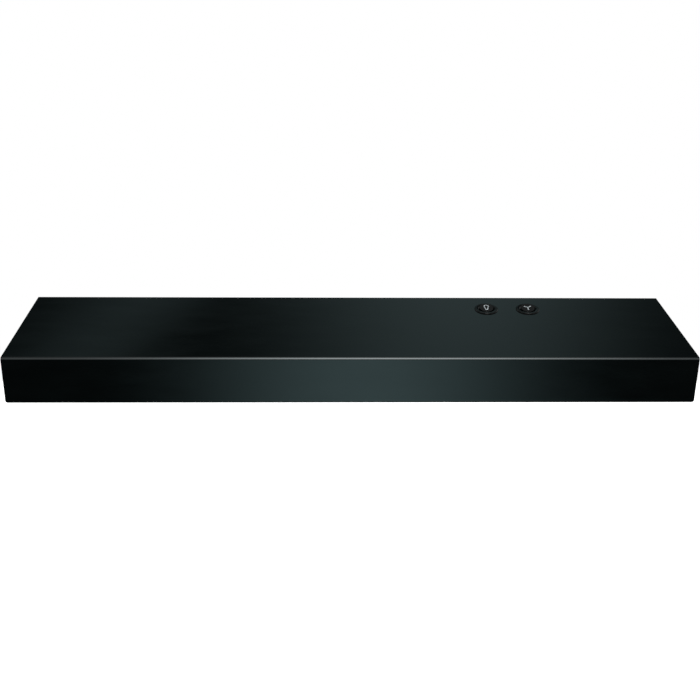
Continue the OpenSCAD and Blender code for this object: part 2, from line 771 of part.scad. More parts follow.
// Dished bezel pressed into the visor, with a sleeve that guides the cap
module bezel() {
    bore = cap_r + 0.25;
    rotate_extrude() polygon(concat(
        [[bore, -9], [bezel_r - 1.5, -9], [bezel_r - 1.5, 0], [bezel_r, 0]],
        [for (a = [0:15:90]) [bezel_r - 0.9 + 0.9 * cos(a), 0.5 + 0.9 * sin(a)]],
        [for (a = [0:15:75]) [bezel_r - 0.9 - 4 * sin(a), 1.4 - 1.5 * (1 - cos(a))]],
        [[bore, 0.05]]
    ));
}

// Round cap whose face leans towards the cook, with a stem into its switch
module button_cap() {
    difference() {
        union() {
            translate([0, 0, -10]) cylinder(r = cap_r, h = 10 + cap_h + cap_r * tan(cap_tilt));
            translate([0, 0, -16]) cylinder(r = 2.2, h = 8);
            for (a = [0, 90]) rotate([0, 0, a]) translate([0, 0, -9.5])
                cube([2 * cap_r + 2 * 0.9, 2.4, 1], center = true);
        }
        translate([0, 0, cap_h]) rotate([cap_tilt, 0, 0])
            translate([-2 * cap_r, -2 * cap_r, 0]) cube([4 * cap_r, 4 * cap_r, 20]);
    }
}

// Places a flat mark on a cap's leaning face
module on_cap_face(x) {
    on_visor(x) translate([0, 0, cap_h]) rotate([cap_tilt, 0, 0]) children();
}

module light_button_bezel() color("#0c0f10") on_visor(light_button_x) bezel();
module fan_button_bezel() color("#0c0f10") on_visor(light_button_x + button_pitch) bezel();
module light_button_cap() color("#0a0c0d") on_visor(light_button_x) button_cap();
module fan_button_cap() color("#0a0c0d") on_visor(light_button_x + button_pitch) button_cap();

mark_t = 0.25;
mark_w = 0.9;
mark_r = 3.05;
blade_l = 4.8;

// Outline of a lamp: a round top drawn in to a narrow foot
module light_symbol() color("#dfe3e4") on_cap_face(light_button_x) linear_extrude(mark_t)
    difference() {
        hull() {
            translate([0, 1.9]) circle(r = mark_r);
            translate([0, -4.1]) square([2.6, 1.4], center = true);
        }
        hull() {
            translate([0, 1.9]) circle(r = mark_r - mark_w);
            translate([0, -3.5]) square([0.9, 0.8], center = true);
        }
    }

// Three-bladed fan
module fan_symbol() color("#dfe3e4") on_cap_face(light_button_x + button_pitch)
    linear_extrude(mark_t) for (k = [0:2]) rotate(-90 + 120 * k) {
        translate([blade_l / 2, 0]) square([blade_l, mark_w], center = true);
        translate([blade_l - 1, 0.2]) square([2, mark_w + 0.4], center = true);
    }

// Push switch behind a cap, with its blade terminals
module push_switch() {
    difference() {
        translate([-9, -9, -33]) cube([18, 18, 18]);
        translate([0, 0, -22]) cylinder(r = 2.6, h = 10);
    }
    for (s = [-1, 1]) translate([s * 4, 0, -37]) cube([0.8, 5, 8.01], center = true);
}

module light_switch() color("#1d2123") on_visor(light_button_x) push_switch();
module fan_switch() color("#1d2123") on_visor(light_button_x + button_pitch) push_switch();

// Folded bracket that carries both switches under the visor
module switch_bracket() color("#8f9498") {
    mid = light_button_x + button_pitch / 2;
    on_visor(mid) difference() {
        union() {
            block([-button_pitch / 2 - 20, -14, -15], [button_pitch / 2 + 20, 14, -14]);
            for (s = [-1, 1]) {
                block([s * (button_pitch / 2 + 19.5) - 0.5, -14, -15],
                    [s * (button_pitch / 2 + 19.5) + 0.5, 14, -sheet]);
                block([s * (button_pitch / 2 + 23.5) - 4.5, -14, -2 * sheet],
                    [s * (button_pitch / 2 + 23.5) + 4.5, 14, -sheet]);
            }
        }
        for (s = [-1, 1]) translate([s * button_pitch / 2, 0, -15])
            cylinder(r = 6, h = 6, center = true);
    }
}

// ---------------------------------------------------------------- wiring

// Cover under the top panel, round the place where the supply comes in
module wiring_box() color("#15191b") {
    difference() {
        union() {
            block([box_x0, box_y0, -box_h], [box_x1, back_y - sheet, -sheet]);
            block([box_x0 - 12, box_y0 + 20, -2 * sheet], [box_x0 + 1, box_y0 + 44, -sheet]);
        }
        block([box_x0 + sheet, box_y0 + sheet, -box_h + sheet],
            [box_x1 - sheet, back_y, 0.5]);
        box_screw_places() screw_hole(top_shank_r);
        translate([box_x0, box_motor_y, wire_z]) bar_x(grommet_r - 1.5, 6);
        translate([box_switch_x, box_y0, wire_z]) rotate([90, 0, 0])
            cylinder(r = grommet_r - 1.5, h = 6, center = true);
        translate([box_x1 - 12, box_y0 + 40, -box_h]) cylinder(r = 1.7, h = 6, center = true);
    }
}

// Line and neutral leads, bent up into their wire nuts
module supply_leads() color("#1a1a1a") {
    for (k = [0:1]) translate([cable_x - 24 + 12 * k, 0, 0])
        swept([[0, 84, -34], [0, 94, -40], [0, 108, -41], [0, 118, -37], [0, 122, -30], [0, 122, -25]], 1.4);
}

// Earth lead, held down by the green screw
module earth_lead() color("#2e8b4a")
    swept([[cable_x, 84, -34], [cable_x + 2, 94, -41], [cable_x + 10, 106, -47],
        [cable_x + 22, 114, -49], [cable_x + 36.5, 118, -49.4]], 1.4);

// Twist-on connectors over the ends of the leads
module wire_nuts() color("#d8842a") {
    for (k = [0:1]) translate([cable_x - 24 + 12 * k, 122, -25]) cylinder(r1 = 4.6, r2 = 3.2, h = 12);
}

module ground_screw() color("#3d8f56")
    translate([box_x1 - 12, box_y0 + 40, -box_h + sheet]) pan_screw(4, 1.6, 4);

// Rubber rings where wires pass through sheet: two in the wiring box and one in the blower's scroll
module wire_grommets() color("#141414") {
    translate([box_x0 + sheet / 2, box_motor_y, wire_z]) rotate([0, 90, 0]) grommet();
    translate([box_switch_x, box_y0 + sheet / 2, wire_z]) rotate([90, 0, 0]) grommet();
    translate([motor_wire_x, axis_y - scroll_front, motor_wire_z]) rotate([90, 0, 0]) grommet();
}

module grommet() {
    rotate_extrude() polygon([
        [wire_r + 0.1, -2.4], [grommet_r, -2.4], [grommet_r, -1.3], [grommet_r - 1.6, -1.3],
        [grommet_r - 1.6, 1.3], [grommet_r, 1.3], [grommet_r, 2.4], [wire_r + 0.1, 2.4]
    ]);
}

// Bundle from the switches back to the wiring box
module switch_wires() color("#23272a") swept([
    [light_button_x + button_pitch, -158, -58], [222, -146, -56], [232, -120, -34],
    [240, -80, -10], [246, -10, -8], [262, 36, -11], [box_switch_x - 4, 56, -18],
    [box_switch_x, 67, wire_z], [box_switch_x, 74, wire_z], [box_switch_x, 84, wire_z]
], wire_r);

// Bundle from the wiring box forward and round to the blower's motor
module motor_wires() color("#23272a") swept([
    [box_x0 + 5, box_motor_y, wire_z], [box_x0 - 4, box_motor_y, wire_z],
    [box_x0 - 10, box_motor_y, wire_z], [232, 135, -16],
    [200, 120, -9], [156, 76, -9], [148, 20, -12], [120, -16, -24], [70, -26, -42],
    [30, -28, -49], [motor_wire_x, -16, motor_wire_z], [motor_wire_x, -9, motor_wire_z],
    [motor_wire_x, 1, motor_wire_z], [motor_wire_x, 11, motor_wire_z]
], wire_r);

// Pair that runs across behind the reflectors, from one lamp socket to the other
module lamp_wires() color("#23272a") swept([
    for (p = [[341, lamp_y, lamp_z], [348, lamp_y, lamp_z], [356, lamp_y + 8, lamp_z + 4],
        [354, -186, lamp_z + 8], [336, -170, lamp_z + 8], [250, -166, lamp_z + 6],
        [120, -166, lamp_z + 5], [0, -166, lamp_z + 5]]) p,
    for (p = [[-120, -166, lamp_z + 5], [-250, -166, lamp_z + 6], [-336, -170, lamp_z + 8],
        [-354, -186, lamp_z + 8], [-356, lamp_y + 8, lamp_z + 4], [-348, lamp_y, lamp_z],
        [-341, lamp_y, lamp_z]]) p
], 2);

// ---------------------------------------------------------------- fasteners

// Screws up through the lamp tray into the canopy's shelf
module tray_screws() color("#9a9fa2") tray_screw_places() pan_screw(3.4, tray_shank_r, 5);

// Screws up through the blower's feet into the top
module blower_screws() color("#9a9fa2") blower_screw_places() pan_screw(3.4, top_shank_r, 2 * sheet);

// Screws from inside through the collar's flange into the wall panel
module collar_screws() color("#9a9fa2") collar_screw_places()
    pan_screw(3, collar_shank_r, collar_sheet + sheet);

module box_screw() color("#9a9fa2") box_screw_places() pan_screw(3.4, top_shank_r, 2 * sheet);

canopy();
left_side_panel();
right_side_panel();
back_panel();
lamp_tray();
light_button_bezel();
fan_button_bezel();
light_button_cap();
fan_button_cap();
light_symbol();
fan_symbol();
light_switch();
fan_switch();
switch_bracket();
left_reflector();
right_reflector();
left_socket();
right_socket();
left_bulb();
right_bulb();
left_bulb_cap();
right_bulb_cap();
left_lens();
right_lens();
left_filter_frame();
left_filter_mesh();
left_filter_pull();
right_filter_frame();
right_filter_mesh();
right_filter_pull();
filter_divider();
filter_pivot_brackets();
filter_spring_clips();
blower_scroll();
left_blower_end();
right_blower_end();
blower_feet();
blower_motor();
motor_cradle();
motor_shaft();
left_blower_wheel();
right_blower_wheel();
motor_capacitor();
duct_collar();
damper_flap();
damper_pin();
damper_seal();
wiring_box();
supply_leads();
earth_lead();
wire_nuts();
wire_grommets();
ground_screw();
switch_wires();
motor_wires();
lamp_wires();
tray_screws();
blower_screws();
collar_screws();
box_screw();
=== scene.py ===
import json
import math

import bpy
from mathutils import Matrix, Vector

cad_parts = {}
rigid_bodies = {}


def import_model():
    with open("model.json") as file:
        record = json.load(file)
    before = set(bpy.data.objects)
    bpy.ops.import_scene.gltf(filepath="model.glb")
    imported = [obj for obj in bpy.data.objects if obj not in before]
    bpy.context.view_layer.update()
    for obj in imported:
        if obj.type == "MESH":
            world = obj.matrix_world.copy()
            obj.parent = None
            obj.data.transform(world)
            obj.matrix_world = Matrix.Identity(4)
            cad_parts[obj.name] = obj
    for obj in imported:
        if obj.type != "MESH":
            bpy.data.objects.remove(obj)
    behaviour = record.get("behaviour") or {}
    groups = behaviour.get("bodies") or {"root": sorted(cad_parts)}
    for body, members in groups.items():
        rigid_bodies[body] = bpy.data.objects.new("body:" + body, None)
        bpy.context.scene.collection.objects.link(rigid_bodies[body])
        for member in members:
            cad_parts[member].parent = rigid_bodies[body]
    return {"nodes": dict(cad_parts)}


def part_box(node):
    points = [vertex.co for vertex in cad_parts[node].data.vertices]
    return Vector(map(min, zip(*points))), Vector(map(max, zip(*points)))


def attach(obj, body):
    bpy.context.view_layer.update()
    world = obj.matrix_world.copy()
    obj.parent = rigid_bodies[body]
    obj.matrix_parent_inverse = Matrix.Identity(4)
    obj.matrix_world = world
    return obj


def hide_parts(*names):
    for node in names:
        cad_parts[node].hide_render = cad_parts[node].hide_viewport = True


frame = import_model()
bpy.ops.object.select_all(action="DESELECT")
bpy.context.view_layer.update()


# Camera: a standard lens in front of the hood at half its height, a little left of its middle and
# turned slightly right, so that neither the flat top nor the underside shows.
bpy.ops.object.camera_add(location=(-0.0339, -1.333, -0.06345))
camera = bpy.context.object
camera.rotation_euler = (math.radians(89.953), math.radians(-0.035), math.radians(-1.643))
camera.data.sensor_width = 36
camera.data.lens = 49.43
camera.data.dof.use_dof = False
bpy.context.scene.camera = camera
bpy.context.scene.view_settings.view_transform = "Standard"


# Studio floor: seamless white paper on the ground, well below the hood. It is lit evenly by itself and
# isn't mirrored, because the tent alone gives the enamel its reflections.
def to_linear(hex_colour):
    channels = [int(hex_colour[i:i + 2], 16) / 255 for i in (1, 3, 5)]
    linear = [c / 12.92 if c <= 0.04045 else ((c + 0.055) / 1.055) ** 2.4 for c in channels]
    return (*linear, 1.0)


def add_node(tree, kind, settings=None, inputs=None):
    """Adds a node. An input is a value, a node (its first output is linked) or a socket."""
    node = tree.nodes.new(kind)
    for name, value in (settings or {}).items():
        setattr(node, name, value)
    for name, value in (inputs or {}).items():
        if isinstance(value, bpy.types.Node):
            value = value.outputs[0]
        if isinstance(value, bpy.types.NodeSocket):
            tree.links.new(value, node.inputs[name])
        else:
            node.inputs[name].default_value = value
    return node


floor_depth = 1.6
floor_size = 90
bpy.ops.mesh.primitive_plane_add(size=floor_size, location=(0, 0, -floor_depth))
studio_floor = bpy.context.object
studio_floor.name = "studio_floor"
studio_floor.visible_glossy = False
studio_floor.visible_diffuse = False
floor_paper = bpy.data.materials.new("white_paper")
floor_paper.use_nodes = True
paper = floor_paper.node_tree.nodes["Principled BSDF"]
paper.inputs["Base Color"].default_value = to_linear("#dddddd")
paper.inputs["Roughness"].default_value = 0.9
paper.inputs["Emission Color"].default_value = to_linear("#ffffff")
paper.inputs["Emission Strength"].default_value = 0.85
studio_floor.data.materials.append(floor_paper)


# Studio lamps: five large soft boxes all round, each turned to the hood. They light the filters, the
# lenses and the inside without being mirrored.
for name, place, width, height, watts in (
    ("lamp_above_front", (0.4, -1.6, 1.9), 1.6, 1.0, 10),
    ("lamp_left", (-2.2, -0.6, 0.7), 1.4, 1.4, 10),
    ("lamp_right", (2.2, -0.2, 0.6), 1.4, 1.4, 10),
    ("lamp_behind", (0, 2.2, 0.8), 1.6, 1.2, 18),
    ("lamp_below", (-0.3, 0.1, -1.5), 2.2, 1.6, 24),
):
    bpy.ops.object.light_add(type="AREA", location=place)
    lamp = bpy.context.object
    lamp.name = name
    lamp.data.shape = "RECTANGLE"
    lamp.data.size = width
    lamp.data.size_y = height
    lamp.data.energy = watts
    lamp.rotation_euler = (-Vector(place)).to_track_quat("-Z", "Y").to_euler()
    lamp.visible_glossy = False
    lamp.visible_camera = False


# Studio tent: dark cloth with soft pale panels in it, which is what the gloss enamel mirrors, and a
# white backdrop behind everything.
world = bpy.data.worlds.new("studio")
bpy.context.scene.world = world
world.use_nodes = True
tent = world.node_tree
tent.nodes.clear()
direction = add_node(tent, "ShaderNodeTexCoord").outputs["Generated"]
across, away, up = add_node(tent, "ShaderNodeSeparateXYZ", inputs={"Vector": direction}).outputs
sideways = add_node(tent, "ShaderNodeMath", {"operation": "ABSOLUTE"}, {0: across})
# the narrow panel leans about the height that the visor's middle mirrors
visor_glance = 0.806
panel_slope = 2.3
rise = add_node(tent, "ShaderNodeMath", {"operation": "SUBTRACT"}, {0: up, 1: visor_glance})
leaning = add_node(
    tent, "ShaderNodeMath", {"operation": "MULTIPLY_ADD"}, {0: rise, 1: panel_slope, 2: across}
)
cool_light, plain_light = 0.015, 0.0


def hang_panel(others, light, *edges):
    """Adds a soft panel of a given light to others. Each edge fades it in from start to end."""
    for position, start, end in edges:
        fade = add_node(
            tent, "ShaderNodeMapRange", {"interpolation_type": "SMOOTHERSTEP"},
            {"Value": position, "From Min": start, "From Max": end},
        )
        light = add_node(tent, "ShaderNodeMath", {"operation": "MULTIPLY"}, {0: light, 1: fade})
    return add_node(tent, "ShaderNodeMath", {"operation": "ADD"}, {0: light, 1: others})


# in front and below, which the lip mirrors
cool_light = hang_panel(
    cool_light, 1.28, (across, -0.235, 0.1), (across, 0.325, 0.0), (up, -0.3, -0.5), (away, 0.0, -0.3)
)
# high behind: a main panel and a leaning narrow one, which the visor mirrors
cool_light = hang_panel(
    cool_light, 0.245, (across, -0.15, 0.17), (across, 0.40, 0.12), (up, 0.5, 0.65), (away, 0.3, 0.45)
)
cool_light = hang_panel(
    cool_light, 0.12, (leaning, -0.37, -0.26), (leaning, -0.15, -0.22), (up, 0.5, 0.65), (away, 0.3, 0.45)
)
# ahead, which the front bend mirrors as a bright line, with a wide dimmer one round it
plain_light = hang_panel(
    plain_light, 6.6, (across, -0.3, 0.1), (across, 0.42, 0.05), (up, -0.1, 0.3), (away, -0.25, -0.55)
)
plain_light = hang_panel(plain_light, 0.9, (up, -0.3, 0.05), (away, -0.3, -0.6))
# straight above, high and level at both sides, low behind and low at both sides, for the other faces
plain_light = hang_panel(plain_light, 0.55, (up, 0.87, 0.98))
plain_light = hang_panel(plain_light, 0.4, (sideways, 0.42, 0.6), (away, 0.0, 0.3), (up, 0.0, 0.4))
plain_light = hang_panel(plain_light, 0.8, (sideways, 0.55, 0.85), (up, -0.5, 0.1))
plain_light = hang_panel(plain_light, 0.8, (away, 0.35, 0.6), (up, -0.35, -0.55))
plain_light = hang_panel(plain_light, 1.2, (sideways, 0.38, 0.55), (up, -0.5, -0.8))
cool_tent = add_node(
    tent, "ShaderNodeBackground", inputs={"Color": to_linear("#dbfcff"), "Strength": cool_light}
)
plain_tent = add_node(
    tent, "ShaderNodeBackground", inputs={"Color": to_linear("#ffffff"), "Strength": plain_light}
)
whole_tent = add_node(tent, "ShaderNodeAddShader", inputs={0: cool_tent, 1: plain_tent})
backdrop = add_node(tent, "ShaderNodeBackground", inputs={"Color": to_linear("#ffffff")})
direct = add_node(tent, "ShaderNodeLightPath").outputs["Is Camera Ray"]
seen = add_node(tent, "ShaderNodeMixShader", inputs={0: direct, 1: whole_tent, 2: backdrop})
add_node(tent, "ShaderNodeOutputWorld", inputs={"Surface": seen})


# Canopy: one sheet of 1 mm steel, sheared, pierced and folded into the flat top, the sloping visor,
# the set-back lip and its turned-in foot, then coated in gloss black enamel and baked.
def only(piece):
    """Makes a piece the only one selected."""
    if bpy.context.object and bpy.context.object.mode != "OBJECT":
        bpy.ops.object.mode_set(mode="OBJECT")
    bpy.ops.object.select_all(action="DESELECT")
    piece.select_set(True)
    bpy.context.view_layer.objects.active = piece


def pick(piece, kind, wanted):
    """Goes to edit mode with only the wanted edges or faces selected."""
    only(piece)
    mesh = piece.data
    for part in (mesh.vertices, mesh.edges, mesh.polygons):
        part.foreach_set("select", [False] * len(part))
    if kind == "EDGE":
        for edge in mesh.edges:
            edge.select = wanted(*[mesh.vertices[i].co for i in edge.vertices])
    else:
        for face in mesh.polygons:
            face.select = wanted(face.center, face.normal)
    bpy.ops.object.mode_set(mode="EDIT")
    bpy.ops.mesh.select_mode(type=kind)


def modify(piece, kind, **settings):
    """Adds a modifier with its settings and applies it."""
    only(piece)
    modifier = piece.modifiers.new(kind.lower(), kind)
    for name, value in settings.items():
        setattr(modifier, name, value)
    bpy.ops.object.modifier_apply(modifier=modifier.name)


def settle(piece):
    """Puts a piece's place and turn into its mesh."""
    only(piece)
    bpy.ops.object.transform_apply(location=True, rotation=True, scale=True)
    return piece


def weld(piece):
    """Merges doubled points and turns all faces outwards."""
    pick(piece, "FACE", lambda centre, normal: True)
    bpy.ops.mesh.remove_doubles(threshold=1e-6)
    bpy.ops.mesh.normals_make_consistent(inside=False)
    bpy.ops.object.mode_set(mode="OBJECT")
    return piece


def join(*pieces):
    """Makes several parts one piece."""
    only(pieces[0])
    for piece in pieces:
        piece.select_set(True)
    bpy.ops.object.join()
    return settle(bpy.context.object)


def cut_away(piece, cutter):
    """Cuts one closed shape out of a piece and removes the cutter."""
    modify(piece, "BOOLEAN", operation="DIFFERENCE", object=cutter, solver="EXACT")
    bpy.data.objects.remove(cutter)


def round_edges(piece, width, steps=2):
    """Softens every sharp edge, as deburring or paint does."""
    modify(piece, "BEVEL", width=width, segments=steps, limit_method="ANGLE", angle_limit=math.radians(40))


def smooth(piece, angle=38):
    """Shades a piece smooth, except across edges sharper than an angle in degrees."""
    only(piece)
    bpy.ops.object.shade_smooth_by_angle(angle=math.radians(angle))
    modify(piece, "WEIGHTED_NORMAL", keep_sharp=True, weight=60)


def block(low, high):
    """A box from one corner to the opposite one."""
    low, high = Vector(low), Vector(high)
    bpy.ops.mesh.primitive_cube_add(size=1, location=(low + high) / 2, scale=high - low)
    piece = settle(bpy.context.object)
    return weld(piece)


def rod(centre, radius, length, axis="Z", sides=48):
    """A round bar about its centre, along an axis."""
    turn = {"X": (0, math.pi / 2, 0), "Y": (math.pi / 2, 0, 0), "Z": (0, 0, 0)}[axis]
    bpy.ops.mesh.primitive_cylinder_add(
        vertices=sides, radius=radius, depth=length, location=centre, rotation=turn
    )
    return settle(bpy.context.object)


def show(piece, name, finish, body, *nodes, slot=None):
    """Names a finished piece and gives it its finish, its body and the CAD nodes it stands for."""
    piece.name = name
    piece.data.name = name
    piece.data.materials.clear()
    piece.data.materials.append(finish)
    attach(piece, body)
    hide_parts(*nodes)
    return piece


sheet = 0.001
bend_r, foot_bend_r = 0.003, 0.002
foot_flange, foot_rise, foot_shelf = 0.016, 0.011, 0.011
half_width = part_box("canopy")[1].x
back_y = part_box("canopy")[1].y
foot_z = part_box("canopy")[0].z
ridge_y = -0.1525
front_y = -0.292
bend_z = -0.073
foot_y = -0.2742
riser_y = foot_y + foot_flange
shelf_z = foot_z + foot_rise
shelf_y = riser_y + foot_shelf
folds = [
    (ridge_y, 0, bend_r), (front_y, bend_z, bend_r), (foot_y, foot_z, foot_bend_r),
    (riser_y, foot_z, foot_bend_r), (riser_y, shelf_z, sheet), (shelf_y, shelf_z, 0),
]
bpy.ops.mesh.primitive_plane_add(size=1, location=(0, (back_y + ridge_y) / 2, 0))
canopy = bpy.context.object
canopy.scale = (2 * half_width, back_y - ridge_y, 1)
settle(canopy)
place = Vector((0, ridge_y, 0))


def lies_at(y, z):
    """A test for the edge that runs across the sheet at a place in Y and Z."""
    return lambda a, b: max(abs(p.y - y) + abs(p.z - z) for p in (a, b)) < 1e-5


for y, z, _ in folds[1:]:
    pick(canopy, "EDGE", lies_at(place.y, place.z))
    bpy.ops.mesh.extrude_region_move(
        TRANSFORM_OT_translate={"value": (0, y - place.y, z - place.z)}
    )
    place = Vector((0, y, z))
line = [Vector((back_y, 0))] + [Vector((y, z)) for y, z, _ in folds]
for before, here, after, (y, z, radius) in zip(line, line[1:], line[2:], folds):
    turn = (here - before).angle(after - here)
    pick(canopy, "EDGE", lies_at(y, z))
    bpy.ops.mesh.bevel(
        offset_type="OFFSET", offset=radius * math.tan(turn / 2), segments=10, profile=0.5,
        affect="EDGES", clamp_overlap=False,
    )
weld(canopy)
if max(canopy.data.polygons, key=lambda face: face.area).normal.z < 0:
    pick(canopy, "FACE", lambda centre, normal: True)
    bpy.ops.mesh.flip_normals()
modify(canopy, "SOLIDIFY", thickness=sheet, offset=-1, use_even_offset=True)

# the foot stops short of the side panels' flanges, and the lip's lower corners are rounded
corner_r = 0.0025
flange_gap = 0.014
bend_reach = 0.0014
corner_reach = 0.006
over = 0.001
for side in (-1, 1):
    edge_x = side * (half_width + over)
    corner_x = side * (half_width - corner_r)
    cut_away(canopy, block(
        (side * (half_width - flange_gap), foot_y + bend_reach, foot_z - over),
        (edge_x, shelf_y + over, shelf_z + 3 * over),
    ))
    corner = block(
        (corner_x, foot_y - corner_reach, foot_z - over), (edge_x, foot_y + corner_reach, foot_z + corner_r)
    )
    cut_away(corner, rod((corner_x, foot_y, foot_z + corner_r), corner_r, 5 * corner_reach, "Y"))
    cut_away(canopy, corner)

# four keyholes for the cabinet screws
through = 0.003
keyhole_x, keyhole_y = half_width - 0.05, back_y - 0.0425
slot_l, slot_r, entry_r = 0.014, 0.0028, 0.006
for x in (-keyhole_x, keyhole_x):
    for y in (-keyhole_y, keyhole_y):
        for cutter in (
            rod((x, y, 0), entry_r, 2 * through), rod((x, y - slot_l, 0), slot_r, 2 * through),
            block((x - slot_r, y - slot_l, -through), (x + slot_r, y, through)),
        ):
            cut_away(canopy, cutter)


# knockouts: two round ones and a rectangle, scored through except at small tabs
def arc_slit(x, y, radius, start, sweep, width):
    """A curved cutter: a thin upright plate spun about a centre."""
    bpy.ops.mesh.primitive_cube_add(
        size=1, location=(x + radius - width / 2, y, 0), scale=(width, width / 4, 2 * through)
    )
    cutter = settle(bpy.context.object)
    pick(cutter, "FACE", lambda centre, normal: normal.y > 0.9)
    steps = max(4, round(math.degrees(sweep) / 6))
    bpy.ops.mesh.spin(steps=steps, angle=-sweep, center=(x, y, 0), axis=(0, 0, 1))
    weld(cutter)
    cutter.data.transform(
        Matrix.Translation((x, y, 0)) @ Matrix.Rotation(start, 4, "Z") @ Matrix.Translation((-x, -y, 0))
    )
    return cutter


slit_width, tab = 0.0008, 0.006
round_vent_y, round_vent_r = -0.055, 0.089
cable_x, cable_y, cable_r = 0.312, 0.118, 0.0111
for centre_x, centre_y, radius, tabs in (
    (0, round_vent_y, round_vent_r, 6), (cable_x, cable_y, cable_r, 2),
):
    gap = tab / radius
    for k in range(tabs):
        start = 2 * math.pi * k / tabs + gap / 2
        cut_away(canopy, arc_slit(centre_x, centre_y, radius, start, 2 * math.pi / tabs - gap, slit_width))
vent_y, vent_w, vent_d = 0.099, 0.254, 0.082
half_slit = slit_width / 2
for side in (-1, 1):
    y = vent_y + side * vent_d / 2
    half = vent_w / 6 - tab / 2
    for x in (-vent_w / 3, 0, vent_w / 3):
        cut_away(canopy, block((x - half, y - half_slit, -through), (x + half, y + half_slit, through)))
    x = side * vent_w / 2
    half = vent_d / 4 - tab / 2
    for y in (vent_y - vent_d / 4, vent_y + vent_d / 4):
        cut_away(canopy, block((x - half_slit, y - half, -through), (x + half_slit, y + half, through)))

# holes that the two bezels are pressed into, square to the visor
visor_angle = math.atan2(-bend_z, ridge_y - front_y)
button_share = 0.79
button_y = front_y + (ridge_y - front_y) * button_share
button_z = bend_z * (1 - button_share)
bezel_low, bezel_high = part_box("light_button_bezel")
bezel_r = (bezel_high.x - bezel_low.x) / 2
hole_r, hole_depth = bezel_r - 0.0013, 0.008
button_places = {
    name: Vector((sum(corner.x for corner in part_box(name + "_bezel")) / 2, button_y, button_z))
    for name in ("light_button", "fan_button")
}
for place in button_places.values():
    bpy.ops.mesh.primitive_cylinder_add(
        vertices=64, radius=hole_r, depth=hole_depth, location=place, rotation=(visor_angle, 0, 0)
    )
    cut_away(canopy, settle(bpy.context.object))
deburred = 0.0002
round_edges(canopy, deburred)
smooth(canopy)


# Gloss black baked enamel: a thin glassy coat that mirrors softly, with faint orange peel a couple
# of millimetres across and a little uneven sheen where it has been wiped.
def new_finish(name, **values):
    """A material, its node tree and its shader, with the shader's plain values set."""
    material = bpy.data.materials.new(name)
    material.use_nodes = True
    shader = material.node_tree.nodes["Principled BSDF"]
    for socket, value in values.items():
        shader.inputs[socket.replace("_", " ")].default_value = value
    return material, material.node_tree, shader


def uneven(tree, shader, darker, lighter, lump, stretch=(1, 1, 1), shine=None, peel=None):
    """Gives a finish its unevenness: patches of two colours about lump metres across, stretched
    by stretch, a range of roughness over them, and a fine relief of (lump, depth) metres."""
    place = add_node(tree, "ShaderNodeTexCoord").outputs["Object"]
    spot = add_node(tree, "ShaderNodeMapping", inputs={"Vector": place, "Scale": stretch})
    patches = add_node(
        tree, "ShaderNodeTexNoise", inputs={"Vector": spot, "Scale": 1 / lump, "Detail": 4.0}
    )
    colour = add_node(
        tree, "ShaderNodeMix", {"data_type": "RGBA"},
        {"Factor": patches, "A": to_linear(darker), "B": to_linear(lighter)},
    )
    tree.links.new(colour.outputs["Result"], shader.inputs["Base Color"])
    if shine:
        sheen = add_node(tree, "ShaderNodeMapRange", inputs={
            "Value": patches, "From Min": 0.3, "From Max": 0.7, "To Min": shine[0], "To Max": shine[1],
        })
        tree.links.new(sheen.outputs[0], shader.inputs["Roughness"])
    if peel:
        fine = add_node(
            tree, "ShaderNodeTexNoise", inputs={"Vector": spot, "Scale": 1 / peel[0], "Detail": 2.0}
        )
        relief = add_node(tree, "ShaderNodeBump", inputs={"Height": fine, "Distance": peel[1]})
        tree.links.new(relief.outputs["Normal"], shader.inputs["Normal"])


enamel, tree, shader = new_finish("black_baked_enamel", IOR=1.5, Specular_Tint=to_linear("#f2feff"))
uneven(tree, shader, "#020303", "#040606", 0.06, (1, 3, 3), (0.10, 0.15), (0.0022, 0.000008))
show(canopy, "folded_canopy", enamel, "hood", "canopy", slot="black_enamel")


# Side panels, wall panel, lamp tray, filter divider and wiring cover: sheared and folded from the
# same 1 mm steel as the canopy, and spot welded or screwed to it. The sides have its gloss enamel. The
# wall panel and the inner pieces have a duller coat, which looks greyer.
def refinish(finish, *nodes):
    """Gives CAD nodes whose shape is right their finish."""
    for node in nodes:
        piece = frame["nodes"][node]
        piece.data.materials.clear()
        piece.data.materials.append(finish)


inside_enamel, tree, shader = new_finish("black_enamel_inside", IOR=1.5)
uneven(tree, shader, "#0b0d0e", "#141719", 0.05, (1, 1, 1), (0.2, 0.32), (0.0022, 0.00001))
refinish(enamel, "left_side_panel", "right_side_panel")
refinish(inside_enamel, "back_panel", "lamp_tray", "filter_divider", "wiring_box")


# Button bezels: moulded black ABS rings with a rolled lip, dished towards the cap. Each has a sleeve
# that is pressed into a hole in the visor and guides its cap.
cap_r = 0.008
bore = cap_r + 0.00025
stem = 0.009


